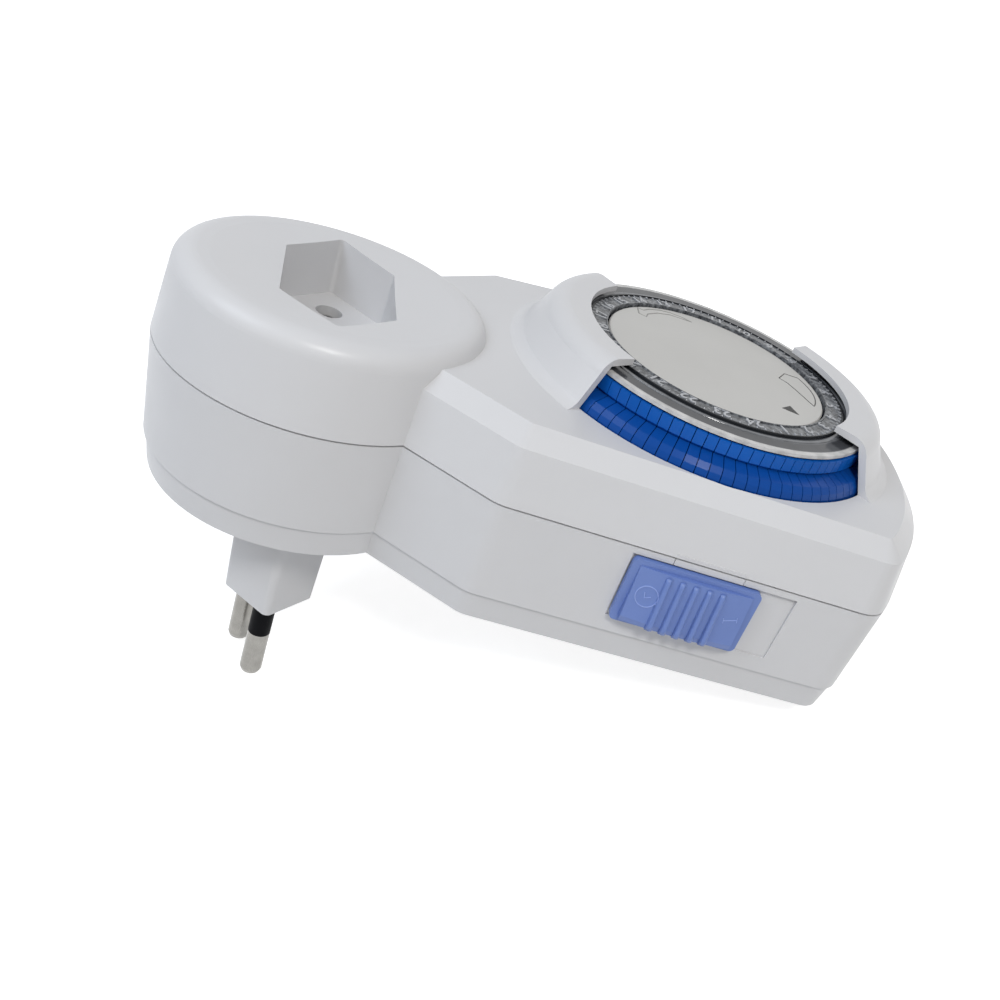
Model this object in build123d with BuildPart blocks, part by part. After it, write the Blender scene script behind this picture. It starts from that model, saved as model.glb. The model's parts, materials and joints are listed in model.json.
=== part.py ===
"""Plug-in timer switch: a mechanical 24-hour segment timer with a pass-through socket.

Millimetres. The origin is the centre of the plug's end face, midway between the live
and neutral pins. +Z points out of the wall towards the dial, +X runs from the socket to
the dial, and -Y is the side with the slide switch.
"""
import math
import os

from build123d import *

os.makedirs("parts", exist_ok=True)

# ---------------------------------------------------------------- driving dimensions
# plug and socket, two poles and earth, 10 A pattern
PIN_RADIUS = 2.0
PIN_LENGTH = 19.0
PIN_TIP_LENGTH = 1.2
PIN_ROOT_RADIUS = 2.6
PIN_HALF_SPACING = 9.5
EARTH_OFFSET = 3.0
SLEEVE_LENGTH = 9.0
SLEEVE_WALL = 0.4
PIN_HEAD_HEIGHT = 1.2
BOSS_HALF_WIDTH = 8.3
BOSS_HALF_LENGTH = 17.6
BOSS_TIP_RADIUS = 2.0
BOSS_DRAFT = 2.0
RECESS_HALF_WIDTH = 9.0
RECESS_HALF_LENGTH = 18.3
RECESS_CORNER_RADIUS = 0.8
RECESS_DEPTH = 9.4
RECESS_WALL = 1.8
SOCKET_HOLE_RADIUS = 2.3
LEAF_THICKNESS = 0.8
LEAF_WIDTH = 4.8

# housing, heights above the plug's end face
BACK_Z = 20.7
STEP_Z = 26.1
SPLIT_Z = 43.6
EDGE_Z = 53.5
TOP_Z = 56.4
RIM_Z = 58.7
WALL = 2.2
FRONT_DRAFT = 9.7
BARREL_DRAFT = 6.0
BACK_DRAFT = 1.7
BARREL_BACK_DRAFT = 3.5
LEDGE = 0.4
TOP_BEVEL = 49.5
BACK_BEVEL = 8.0
RIM_ROUND = 3.2
GROOVE_WIDTH = 0.3
GROOVE_DEPTH = 0.5
DISH_RADIUS = 20.0
DISH_DEPTH = 0.8

# housing outline at the parting line
BARREL_RADIUS = 26.5
SHOULDER_X = 27.7
SHOULDER_Y = 34.3
NECK_ANGLE = 38.3
NECK_HALF_WIDTH = 12.0
CORNER_X = 93.9
CORNER_Y = 44.6
END_X = 112.3
CORNER_RADIUS = 6.0

# dial
DIAL_X = 67.5
SKIRT_WALL = 1.2
SKIRT_BOTTOM_Z = 48.5
DISC_RADIUS = 21.4
DISC_TOP_Z = 62.8
DISC_THICKNESS = 1.4
RING_OVERHANG = 2.7
RING_TOP_Z = 63.1
RING_THICKNESS = 0.9
BAND_RADIUS = 25.4
DRUM_RADIUS = 27.9
DRUM_WALL = 1.7
AXLE_RADIUS = 3.0
HUB_RADIUS = 6.0
WEB_THICKNESS = 1.4

# ring of trip segments, one for each quarter of an hour
HOURS = 24
SEGMENTS_PER_HOUR = 4
SEGMENT_SPACING = 0.14
SEGMENT_TRAVEL = 3.0
SEGMENT_HEIGHT = 9.4
SEGMENT_THICKNESS = 2.8
SEGMENT_STEP_Z = 59.6
SEGMENT_STEP_DEPTH = 0.5
FLARE_REACH = 3.4
FLARE_Z = 56.4
FLARE_LIP = 1.2
FLARE_RISE = 1.9
FLARE_CLEARANCE = 0.6

# collars that hood both ends of the dial
COLLAR_HALF_ANGLE = 41.8
COLLAR_TURN = -6.5
COLLAR_INNER_RADIUS = 25.6
COLLAR_TOP_Z = 65.2
COLLAR_WALL = 1.3
COLLAR_FOOT = 3.4

# gear train
RING_GEAR_TEETH = 66
PINION_TEETH = 12
DIAL_MODULE = 0.8
WHEEL_TEETH = 36
MOTOR_TEETH = 12
MOTOR_MODULE = 0.6
BACKLASH = 0.25
TRANSFER_ANGLE = 150.0
MOTOR_ANGLE = 19.0
RING_GEAR_Z = 44.2
RING_GEAR_HEIGHT = 2.8
GEAR_AXLE_RADIUS = 1.0
MOTOR_RADIUS = 14.0
MOTOR_HEIGHT = 12.4
MOTOR_SHAFT_RADIUS = 0.9
MOTOR_SHAFT_SEAT = 4.0
PLATE_Z = 38.6
PLATE_THICKNESS = 1.0
PLATE_CENTRE = (59.5, 10.0)
PLATE_SIZE = (49.0, 44.0)
PLATE_POSTS = [(38.5, -3.0), (78.0, 27.0)]
POST_RADIUS = 3.0
WHEEL_HEIGHT = 2.0

# slide switch in the side wall, measured along the wall from the shoulder
KNOB_START = 23.3
KNOB_LENGTH = 22.8
KNOB_BOTTOM_Z = 29.7
KNOB_HEIGHT = 12.5
KNOB_FLANGE = 1.3
KNOB_CORNER = 1.0
KNOB_TRAVEL = 6.0
KNOB_RECESS = 0.7
KNOB_CLEARANCE = 0.3
GRIP_LENGTH = 20.0
GRIP_HEIGHT = 10.6
GRIP_RISE = 1.9
GRIP_BEND = 80.0
RIB_COUNT = 5
RIB_PITCH = 2.4
RIB_WIDTH = 1.2
RIB_RISE = 0.5
SHANK_LENGTH = 6.0
SHANK_HEIGHT = 6.0
CARRIER_LENGTH = 13.0
CARRIER_HEIGHT = 8.6
CARRIER_THICKNESS = 1.3
CARRIER_GAP = 0.9
BRIDGE_THICKNESS = 0.5
BRIDGE_INSET = 1.0
SLIDE_CONTACT_SPACING = 9.0
SLIDE_CONTACT_LAP = 2.0
TAB_START = 29.8
TAB_LENGTH = 12.6
TAB_DEPTH = 1.1

# trip lever and snap switch
LEVER_PIVOT_X = 46.0
LEVER_PIVOT_Z = 43.0
LEVER_Y = -29.65
LEVER_WIDTH = 2.7
LEVER_BAR = 2.0
LEVER_HUB_RADIUS = 1.9
TRUNNION_RADIUS = 1.0
NOSE_HALF_WIDTH = 2.4
NOSE_GAP = 1.7
UPRIGHT_THICKNESS = 1.8
SWITCH_X = 58.0
SWITCH_LENGTH = 20.0
SWITCH_WIDTH = 6.0
SWITCH_HEIGHT = 10.0
SWITCH_BOTTOM_Z = 29.4
TERMINAL_OFFSET = 6.0
TERMINAL_HEIGHT = 5.0
PLUNGER_X = 56.0
PLUNGER_RADIUS = 1.1

# fastening
SCREW_PLACES = [(-17.6, 0.0), (95.0, 33.5), (95.0, -33.5)]
COLUMN_RADIUS = 3.2
SCREW_RADIUS = 1.3
SCREW_HEAD_RADIUS = 2.5
SCREW_HEAD_HEIGHT = 1.8
SCREW_SEAT_Z = 34.0
SCREW_LENGTH = 15.0
COUNTERBORE_RADIUS = 2.8
PLATE_SCREW_RADIUS = 1.0
PLATE_SCREW_LENGTH = 7.0

# fits and strip stock
SLIP = 0.05
GAP = 0.3
STRIP_THICKNESS = 0.8
STRIP_WIDTH = 4.0

# ---------------------------------------------------------------- derived places
STEP_INSET = (SPLIT_Z - STEP_Z) * math.tan(math.radians(BACK_DRAFT)) + LEDGE
BARREL_STEP_INSET = (SPLIT_Z - STEP_Z) * math.tan(math.radians(BARREL_BACK_DRAFT)) + LEDGE
RIM_RADIUS = BARREL_RADIUS - (RIM_Z - SPLIT_Z) * math.tan(math.radians(BARREL_DRAFT))
RING_RADIUS = DRUM_RADIUS + RING_OVERHANG
LIP_BASE_RADIUS = RING_RADIUS + GAP
UNDER_LIP_Z = COLLAR_TOP_Z - COLLAR_WALL
SEGMENT_INNER = DRUM_RADIUS + GAP
SEGMENT_STEP_RADIUS = SEGMENT_INNER + SEGMENT_THICKNESS
FLARE_RADIUS = SEGMENT_STEP_RADIUS + FLARE_REACH
WELL_RADIUS = FLARE_RADIUS + FLARE_CLEARANCE
COLLAR_BASE_RADIUS = WELL_RADIUS + COLLAR_FOOT
FLOOR_Z = BACK_Z + WALL
CEILING_Z = TOP_Z - WALL
DISH_FLOOR_Z = RIM_Z - DISH_DEPTH
RECESS_FLOOR_Z = DISH_FLOOR_Z - RECESS_DEPTH
RECESS_BASE_Z = RECESS_FLOOR_Z - RECESS_WALL
DRUM_TOP_Z = RING_TOP_Z - RING_THICKNESS
SEGMENT_TOP_Z = DRUM_TOP_Z - GAP
SEGMENT_BOTTOM_Z = SEGMENT_TOP_Z - SEGMENT_HEIGHT
RING_PITCH = RING_GEAR_TEETH * DIAL_MODULE / 2
PINION_PITCH = PINION_TEETH * DIAL_MODULE / 2
WHEEL_PITCH = WHEEL_TEETH * MOTOR_MODULE / 2
MOTOR_PITCH = MOTOR_TEETH * MOTOR_MODULE / 2
DIAL_REACH = RING_PITCH + PINION_PITCH
MOTOR_REACH = WHEEL_PITCH + MOTOR_PITCH
TRANSFER_X = DIAL_X + DIAL_REACH * math.cos(math.radians(TRANSFER_ANGLE))
TRANSFER_Y = DIAL_REACH * math.sin(math.radians(TRANSFER_ANGLE))
MOTOR_X = TRANSFER_X + MOTOR_REACH * math.cos(math.radians(MOTOR_ANGLE))
MOTOR_Y = TRANSFER_Y + MOTOR_REACH * math.sin(math.radians(MOTOR_ANGLE))
PLATE_TOP_Z = PLATE_Z + PLATE_THICKNESS
WHEEL_Z = PLATE_TOP_Z + GAP
WHEEL_TOP_Z = WHEEL_Z + WHEEL_HEIGHT
SIDE_ANGLE = math.atan2(CORNER_Y - SHOULDER_Y, CORNER_X - SHOULDER_X)
PIN_TOP_Z = FLOOR_Z + PIN_HEAD_HEIGHT
LIVE_CONTACT_Z = PIN_TOP_Z + 3.1
NOSE_TOP_Z = SEGMENT_BOTTOM_Z - NOSE_GAP
LEVER_LENGTH = DIAL_X + NOSE_HALF_WIDTH - LEVER_PIVOT_X
SWITCH_TOP_Z = SWITCH_BOTTOM_Z + SWITCH_HEIGHT
KNOB_CENTRE = KNOB_START + KNOB_LENGTH / 2
KNOB_CENTRE_Z = KNOB_BOTTOM_Z + KNOB_HEIGHT / 2
LIVE_PLACE = (0, -PIN_HALF_SPACING)
NEUTRAL_PLACE = (0, PIN_HALF_SPACING)
EARTH_PLACE = (-EARTH_OFFSET, 0)
PIN_PLACES = [LIVE_PLACE, NEUTRAL_PLACE, EARTH_PLACE]

# plane of the side wall at the shoulder: x along the wall, y up, z out of the wall
SIDE = Plane(
    origin=(SHOULDER_X, -SHOULDER_Y, 0),
    x_dir=(math.cos(SIDE_ANGLE), -math.sin(SIDE_ANGLE), 0),
    z_dir=(-math.sin(SIDE_ANGLE), -math.cos(SIDE_ANGLE), 0),
)


def save(builder, label):
    """Name a finished piece and write it."""
    builder.part.label = label
    export_step(builder.part, f"parts/{label}.step")


# ---------------------------------------------------------------- shared outlines
def body_outline(inset=0.0):
    """Plan of the body at the parting line, moved inwards by inset."""
    neck_x = SHOULDER_X - (SHOULDER_Y - NECK_HALF_WIDTH) / math.tan(math.radians(NECK_ANGLE))
    with BuildSketch() as outline:
        with BuildLine():
            Polyline(
                (neck_x, NECK_HALF_WIDTH), (neck_x, -NECK_HALF_WIDTH),
                (SHOULDER_X, -SHOULDER_Y), (CORNER_X, -CORNER_Y),
            )
            ThreePointArc((CORNER_X, -CORNER_Y), (END_X, 0), (CORNER_X, CORNER_Y))
            Polyline((CORNER_X, CORNER_Y), (SHOULDER_X, SHOULDER_Y), (neck_x, NECK_HALF_WIDTH))
        make_face()
        fillet(outline.vertices().sort_by(Axis.X)[-4:], CORNER_RADIUS)
        if inset > 0:
            offset(amount=-inset, kind=Kind.INTERSECTION, mode=Mode.REPLACE)
    return outline.sketch


def keyhole(inset=0.0):
    """Plan of body and socket barrel together at the parting line, moved inwards by inset."""
    with BuildSketch() as plan:
        add(body_outline(inset))
        Circle(BARREL_RADIUS - inset)
    return plan.sketch


def plug_hexagon(half_width, half_length, corner_radius):
    """Long hexagon with right-angled tips, lying along Y."""
    side = half_length - half_width
    with BuildSketch() as hexagon:
        with BuildLine():
            Polyline(
                (0, half_length), (-half_width, side), (-half_width, -side),
                (0, -half_length), (half_width, -side), (half_width, side), close=True,
            )
        make_face()
        fillet(hexagon.vertices(), corner_radius)
    return hexagon.sketch


def gear_outline(teeth, module, phase=0.0):
    """Spur gear outline with straight-flanked teeth, one tooth centred at phase degrees."""
    pitch_radius = teeth * module / 2
    tip_radius = pitch_radius + 0.8 * module
    root_radius = pitch_radius - 1.15 * module
    half_tooth = math.pi / (2 * teeth) - BACKLASH * module / (2 * pitch_radius)
    slope = math.tan(math.radians(20)) / pitch_radius
    tip_half = half_tooth - 0.8 * module * slope
    root_half = half_tooth + 0.7 * module * slope
    points = []
    for tooth in range(teeth):
        middle = math.radians(phase) + 2 * math.pi * tooth / teeth
        flanks = (
            (root_radius, middle - root_half), (tip_radius, middle - tip_half),
            (tip_radius, middle + tip_half), (root_radius, middle + root_half),
        )
        for radius, angle in flanks:
            points.append((radius * math.cos(angle), radius * math.sin(angle)))
    with BuildSketch() as gear:
        with BuildLine():
            Polyline(*points, close=True)
        make_face()
    return gear.sketch


# ---------------------------------------------------------------- front shell
def slope_point(share):
    """Point on the outside of a collar's slope, share of the way down, as (radius, height)."""
    radius = LIP_BASE_RADIUS + share * (WELL_RADIUS - LIP_BASE_RADIUS) + 1.2 * COLLAR_WALL
    return (radius, UNDER_LIP_Z - share * (UNDER_LIP_Z - TOP_Z))


with BuildPart() as barrel:
    side_lean = math.tan(math.radians(BARREL_DRAFT))
    side_top = (RIM_RADIUS + RIM_ROUND * side_lean, RIM_Z - RIM_ROUND)
    rim_start = (RIM_RADIUS - RIM_ROUND, RIM_Z)
    with BuildSketch(Plane.XZ):
        with BuildLine():
            Polyline(rim_start, (0, RIM_Z), (0, SPLIT_Z), (BARREL_RADIUS, SPLIT_Z), side_top)
            TangentArc(rim_start, side_top, tangent=(1, 0))
        make_face()
    revolve(axis=Axis.Z)

with BuildPart() as front_hollow:
    with BuildSketch(Plane.XY.offset(SPLIT_Z)):
        add(body_outline(WALL))
    extrude(amount=CEILING_Z - SPLIT_Z, taper=FRONT_DRAFT)
    with BuildSketch(Plane.XY.offset(SPLIT_Z)):
        Circle(BARREL_RADIUS - WALL)
    extrude(amount=CEILING_Z - SPLIT_Z, taper=BARREL_DRAFT)
    with BuildSketch(Plane.XY.offset(RECESS_BASE_Z)):
        add(plug_hexagon(RECESS_HALF_WIDTH + RECESS_WALL, RECESS_HALF_LENGTH + RECESS_WALL, 2.0))
    extrude(amount=RIM_Z - RECESS_BASE_Z, mode=Mode.SUBTRACT)

with BuildPart() as collar:
    with BuildSketch(Plane.XZ):
        with BuildLine():
            Polyline(
                (COLLAR_INNER_RADIUS, COLLAR_TOP_Z - 0.2), (COLLAR_INNER_RADIUS, UNDER_LIP_Z),
                (LIP_BASE_RADIUS, UNDER_LIP_Z), (WELL_RADIUS, TOP_Z), (WELL_RADIUS, TOP_Z - 1.2),
                (COLLAR_BASE_RADIUS, TOP_Z - 1.2), (COLLAR_BASE_RADIUS, TOP_Z - 0.1),
            )
            foot, knee = slope_point(0.8), slope_point(0.19)
            lip_edge = (LIP_BASE_RADIUS - COLLAR_WALL, COLLAR_TOP_Z)
            ThreePointArc((COLLAR_BASE_RADIUS, TOP_Z - 0.1), (COLLAR_BASE_RADIUS - 1.5, TOP_Z + 0.4), foot)
            Line(foot, knee)
            ThreePointArc(knee, (LIP_BASE_RADIUS + 0.7, COLLAR_TOP_Z - 0.6), lip_edge)
            Line(lip_edge, (COLLAR_INNER_RADIUS, COLLAR_TOP_Z - 0.2))
        make_face()
    revolve(axis=Axis.Z, revolution_arc=2 * COLLAR_HALF_ANGLE)

with BuildPart() as front_shell:
    with BuildSketch(Plane.XY.offset(SPLIT_Z)):
        add(body_outline())
    extrude(amount=EDGE_Z - SPLIT_Z, taper=FRONT_DRAFT)
    extrude(front_shell.faces().sort_by(Axis.Z)[-1], amount=TOP_Z - EDGE_Z, taper=TOP_BEVEL)
    add(barrel.part)
    add(front_hollow.part, mode=Mode.SUBTRACT)
    # shallow dish in the socket's top
    with BuildSketch(Plane.XZ):
        with BuildLine():
            Polyline(
                (0, RIM_Z + 1), (0, DISH_FLOOR_Z), (RECESS_HALF_WIDTH, DISH_FLOOR_Z),
                (DISH_RADIUS, RIM_Z), (DISH_RADIUS, RIM_Z + 1), close=True,
            )
        make_face()
    revolve(axis=Axis.Z, mode=Mode.SUBTRACT)
    # recess for a plug, with its three contact holes
    with BuildSketch(Plane.XY.offset(RIM_Z)):
        add(plug_hexagon(RECESS_HALF_WIDTH, RECESS_HALF_LENGTH, RECESS_CORNER_RADIUS))
    extrude(amount=RECESS_FLOOR_Z - RIM_Z, mode=Mode.SUBTRACT)
    with BuildSketch(Plane.XY.offset(RECESS_FLOOR_Z)):
        with Locations(*PIN_PLACES):
            Circle(SOCKET_HOLE_RADIUS)
    extrude(amount=-RECESS_WALL, mode=Mode.SUBTRACT)
    # dial well with its skirt
    with BuildSketch(Plane.XY.offset(SKIRT_BOTTOM_Z)):
        with Locations((DIAL_X, 0)):
            Circle(WELL_RADIUS + SKIRT_WALL)
    extrude(amount=CEILING_Z + WALL / 2 - SKIRT_BOTTOM_Z)
    with BuildSketch(Plane.XY.offset(SKIRT_BOTTOM_Z)):
        with Locations((DIAL_X, 0)):
            Circle(WELL_RADIUS)
    extrude(amount=RIM_Z - SKIRT_BOTTOM_Z, mode=Mode.SUBTRACT)
    for turn in (0, 180):
        with Locations(Location((DIAL_X, 0, 0), (0, 0, turn + COLLAR_TURN - COLLAR_HALF_ANGLE))):
            add(collar.part)
    # screw columns
    with BuildSketch(Plane.XY.offset(SPLIT_Z)):
        with Locations(*SCREW_PLACES):
            Circle(COLUMN_RADIUS)
    extrude(amount=CEILING_Z + 0.2 - SPLIT_Z)
    with BuildSketch(Plane.XY.offset(SPLIT_Z)):
        with Locations(*SCREW_PLACES):
            Circle(SCREW_RADIUS + SLIP)
    extrude(amount=SCREW_SEAT_Z + SCREW_LENGTH + 1 - SPLIT_Z, mode=Mode.SUBTRACT)
    # tongue that drops into a notch of the back shell above the slide switch
    with BuildSketch(SIDE):
        with Locations((TAB_START + TAB_LENGTH / 2, SPLIT_Z - TAB_DEPTH / 2 + 0.5)):
            Rectangle(TAB_LENGTH - 0.2, TAB_DEPTH + 1)
    extrude(amount=-WALL)
    # groove that shows as the parting line
    with BuildSketch(Plane.XY.offset(SPLIT_Z)):
        add(keyhole(-1.0))
        add(keyhole(GROOVE_DEPTH), mode=Mode.SUBTRACT)
    extrude(amount=GROOVE_WIDTH, mode=Mode.SUBTRACT)
save(front_shell, "front_shell")

# ---------------------------------------------------------------- back shell
with BuildPart() as back_shell:
    with BuildSketch(Plane.XY.offset(SPLIT_Z)):
        add(body_outline())
    extrude(amount=STEP_Z - SPLIT_Z, taper=BACK_DRAFT)
    with BuildSketch(Plane.XY.offset(SPLIT_Z)):
        Circle(BARREL_RADIUS)
    extrude(amount=STEP_Z - SPLIT_Z, taper=BARREL_BACK_DRAFT)
    # band round the back, behind a small ledge
    with BuildSketch(Plane.XY.offset(STEP_Z)):
        add(body_outline(STEP_INSET))
    extrude(amount=BACK_Z - STEP_Z, taper=BACK_BEVEL)
    with BuildSketch(Plane.XY.offset(STEP_Z)):
        Circle(BARREL_RADIUS - BARREL_STEP_INSET)
    extrude(amount=BACK_Z - STEP_Z, taper=BACK_BEVEL)
    # hollow
    with BuildSketch(Plane.XY.offset(SPLIT_Z)):
        add(keyhole(WALL))
    extrude(amount=STEP_Z - SPLIT_Z, taper=BARREL_BACK_DRAFT, mode=Mode.SUBTRACT)
    with BuildSketch(Plane.XY.offset(STEP_Z)):
        add(keyhole(WALL + BARREL_STEP_INSET + 1.2))
    extrude(amount=FLOOR_Z - STEP_Z, mode=Mode.SUBTRACT)
    # plug boss with round seats for the pins
    with BuildSketch(Plane.XY.offset(FLOOR_Z)):
        add(plug_hexagon(BOSS_HALF_WIDTH, BOSS_HALF_LENGTH, BOSS_TIP_RADIUS))
    extrude(amount=-FLOOR_Z, taper=BOSS_DRAFT)
    with BuildSketch():
        with Locations(*PIN_PLACES):
            Circle(PIN_ROOT_RADIUS + SLIP)
    extrude(amount=FLOOR_Z, mode=Mode.SUBTRACT)
    # screw columns with deep counterbores
    with BuildSketch(Plane.XY.offset(FLOOR_Z - 1)):
        with Locations(*SCREW_PLACES):
            Circle(COLUMN_RADIUS + 0.4)
    extrude(amount=SPLIT_Z - FLOOR_Z + 1)
    with BuildSketch(Plane.XY.offset(BACK_Z)):
        with Locations(*SCREW_PLACES):
            Circle(COUNTERBORE_RADIUS)
    extrude(amount=SCREW_SEAT_Z - BACK_Z, mode=Mode.SUBTRACT)
    with BuildSketch(Plane.XY.offset(SCREW_SEAT_Z)):
        with Locations(*SCREW_PLACES):
            Circle(SCREW_RADIUS + 0.3)
    extrude(amount=SPLIT_Z - SCREW_SEAT_Z, mode=Mode.SUBTRACT)
    # posts for the gear plate
    with BuildSketch(Plane.XY.offset(FLOOR_Z)):
        with Locations(*PLATE_POSTS):
            Circle(POST_RADIUS)
    extrude(amount=PLATE_Z - FLOOR_Z)
    with BuildSketch(Plane.XY.offset(PLATE_Z)):
        with Locations(*PLATE_POSTS):
            Circle(PLATE_SCREW_RADIUS + SLIP)
    extrude(amount=-PLATE_SCREW_LENGTH - 1, mode=Mode.SUBTRACT)
    # ribs under the snap switch
    for rib_x in (SWITCH_X - SWITCH_LENGTH / 2 + 3, SWITCH_X + SWITCH_LENGTH / 2 - 3):
        with BuildSketch(Plane.XY.offset(FLOOR_Z)):
            with Locations((rib_x, LEVER_Y)):
                Rectangle(2, SWITCH_WIDTH)
        extrude(amount=SWITCH_BOTTOM_Z - FLOOR_Z)
    # two uprights that carry the lever's trunnions
    for side in (-1, 1):
        upright_y = LEVER_Y + side * (LEVER_WIDTH / 2 + GAP + UPRIGHT_THICKNESS / 2)
        with BuildSketch(Plane.XY.offset(FLOOR_Z)):
            with Locations((LEVER_PIVOT_X, upright_y)):
                Rectangle(3.4, UPRIGHT_THICKNESS)
        extrude(amount=LEVER_PIVOT_Z + 2.0 - FLOOR_Z)
    with BuildSketch(Plane.XZ.offset(-LEVER_Y)):
        with Locations((LEVER_PIVOT_X, LEVER_PIVOT_Z)):
            Circle(TRUNNION_RADIUS + SLIP)
    extrude(amount=LEVER_WIDTH / 2 + GAP + UPRIGHT_THICKNESS, both=True, mode=Mode.SUBTRACT)
    # recess, shank slot and tongue notch of the slide switch
    with BuildSketch(SIDE):
        with Locations((KNOB_CENTRE + KNOB_TRAVEL / 2, KNOB_CENTRE_Z)):
            Rectangle(KNOB_LENGTH + KNOB_TRAVEL + 2 * KNOB_CLEARANCE, KNOB_HEIGHT + 2 * KNOB_CLEARANCE)
    extrude(amount=-KNOB_RECESS, mode=Mode.SUBTRACT)
    with BuildSketch(SIDE):
        with Locations((KNOB_CENTRE + KNOB_TRAVEL / 2, KNOB_CENTRE_Z)):
            Rectangle(SHANK_LENGTH + KNOB_TRAVEL + 2 * KNOB_CLEARANCE, SHANK_HEIGHT + 2 * KNOB_CLEARANCE)
    extrude(amount=-2 * WALL, mode=Mode.SUBTRACT)
    with BuildSketch(SIDE):
        with Locations((TAB_START + TAB_LENGTH / 2, SPLIT_Z - TAB_DEPTH / 2)):
            Rectangle(TAB_LENGTH, TAB_DEPTH)
    extrude(amount=-2 * WALL, mode=Mode.SUBTRACT)
save(back_shell, "back_shell")

# ---------------------------------------------------------------- screws
with BuildPart() as housing_screws:
    with BuildSketch(Plane.XY.offset(SCREW_SEAT_Z)):
        with Locations(*SCREW_PLACES):
            Circle(SCREW_HEAD_RADIUS)
    extrude(amount=-SCREW_HEAD_HEIGHT)
    with BuildSketch(Plane.XY.offset(SCREW_SEAT_Z)):
        with Locations(*SCREW_PLACES):
            Circle(SCREW_RADIUS)
    extrude(amount=SCREW_LENGTH)
    # cross slots
    with BuildSketch(Plane.XY.offset(SCREW_SEAT_Z - SCREW_HEAD_HEIGHT)):
        with Locations(*SCREW_PLACES):
            Rectangle(2.6, 0.6)
            Rectangle(0.6, 2.6)
    extrude(amount=1.0, mode=Mode.SUBTRACT)
save(housing_screws, "housing_screws")

with BuildPart() as plate_screws:
    with BuildSketch(Plane.XY.offset(PLATE_TOP_Z)):
        with Locations(*PLATE_POSTS):
            Circle(2.0)
    extrude(amount=1.3)
    with BuildSketch(Plane.XY.offset(PLATE_TOP_Z)):
        with Locations(*PLATE_POSTS):
            Circle(PLATE_SCREW_RADIUS)
    extrude(amount=-PLATE_SCREW_LENGTH)
    with BuildSketch(Plane.XY.offset(PLATE_TOP_Z + 1.3)):
        with Locations(*PLATE_POSTS):
            Rectangle(3.0, 0.5)
    extrude(amount=-0.6, mode=Mode.SUBTRACT)
save(plate_screws, "plate_screws")


# ---------------------------------------------------------------- plug pins
def plug_pin(place, waist):
    """Plug pin with a rounded tip, a thicker root in the boss, and a waist under its sleeve."""
    along_x, along_y = place
    neck = [(PIN_RADIUS, 0)]
    if waist:
        waist_radius = PIN_RADIUS - SLEEVE_WALL
        neck = [(PIN_RADIUS, -SLEEVE_LENGTH), (waist_radius, -SLEEVE_LENGTH), (waist_radius, 0)]
    with BuildPart() as pin:
        with BuildSketch(Plane((along_x, along_y, 0), x_dir=(1, 0, 0), z_dir=(0, -1, 0))):
            with BuildLine():
                Polyline(
                    (0, -PIN_LENGTH), (0.55 * PIN_RADIUS, -PIN_LENGTH),
                    (0.87 * PIN_RADIUS, -PIN_LENGTH + 0.4 * PIN_TIP_LENGTH),
                    (PIN_RADIUS, -PIN_LENGTH + PIN_TIP_LENGTH), *neck, (PIN_ROOT_RADIUS, 0),
                    (PIN_ROOT_RADIUS, PIN_TOP_Z), (0, PIN_TOP_Z), close=True,
                )
            make_face()
        revolve(axis=Axis((along_x, along_y, 0), (0, 0, 1)))
    return pin


def pin_sleeve(place):
    """Insulating sleeve flush with the pin's surface."""
    with BuildPart() as sleeve:
        with BuildSketch(Plane.XY.offset(-SLEEVE_LENGTH)):
            with Locations(place):
                Circle(PIN_RADIUS)
                Circle(PIN_RADIUS - SLEEVE_WALL, mode=Mode.SUBTRACT)
        extrude(amount=SLEEVE_LENGTH)
    return sleeve


save(plug_pin(LIVE_PLACE, True), "live_pin")
save(plug_pin(NEUTRAL_PLACE, True), "neutral_pin")
save(plug_pin(EARTH_PLACE, False), "earth_pin")
save(pin_sleeve(LIVE_PLACE), "live_sleeve")
save(pin_sleeve(NEUTRAL_PLACE), "neutral_sleeve")


# ---------------------------------------------------------------- socket contacts
def socket_contact(place, base_z):
    """Two spring leaves on a foot that grip the pin of the plugged-in appliance."""
    leaf_offset = PIN_RADIUS + SLIP + LEAF_THICKNESS / 2
    with BuildPart() as contact:
        with BuildSketch(Plane.XY.offset(base_z)):
            with Locations(place):
                Rectangle(2 * leaf_offset + LEAF_THICKNESS, LEAF_WIDTH)
        extrude(amount=STRIP_THICKNESS)
        with BuildSketch(Plane.XY.offset(base_z)):
            with Locations(place):
                with GridLocations(2 * leaf_offset, 1, 2, 1):
                    Rectangle(LEAF_THICKNESS, LEAF_WIDTH)
        extrude(amount=RECESS_BASE_Z - GAP - base_z)
    return contact


save(socket_contact(LIVE_PLACE, LIVE_CONTACT_Z + STRIP_THICKNESS), "live_contact")
save(socket_contact(NEUTRAL_PLACE, PIN_TOP_Z + STRIP_THICKNESS), "neutral_contact")
save(socket_contact(EARTH_PLACE, PIN_TOP_Z), "earth_contact")


# ---------------------------------------------------------------- conductor strips
def bent_strip(height, run_start, run_end, run_y, tab_y, tab_top):
    """Strip along X, then across in Y at its far end, then up against a terminal face."""
    side = 1 if tab_y > run_y else -1
    with BuildPart() as strip:
        with BuildSketch(Plane.XY.offset(height)):
            with Locations(((run_start + run_end) / 2, run_y)):
                Rectangle(run_end - run_start + STRIP_WIDTH, STRIP_WIDTH)
            with Locations((run_end, (run_y + tab_y) / 2)):
                Rectangle(STRIP_WIDTH, abs(tab_y - run_y))
        extrude(amount=STRIP_THICKNESS)
        with BuildSketch(Plane.XY.offset(height)):
            with Locations((run_end, tab_y - side * STRIP_THICKNESS / 2)):
                Rectangle(STRIP_WIDTH, STRIP_THICKNESS)
        extrude(amount=tab_top - height)
    return strip


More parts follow.
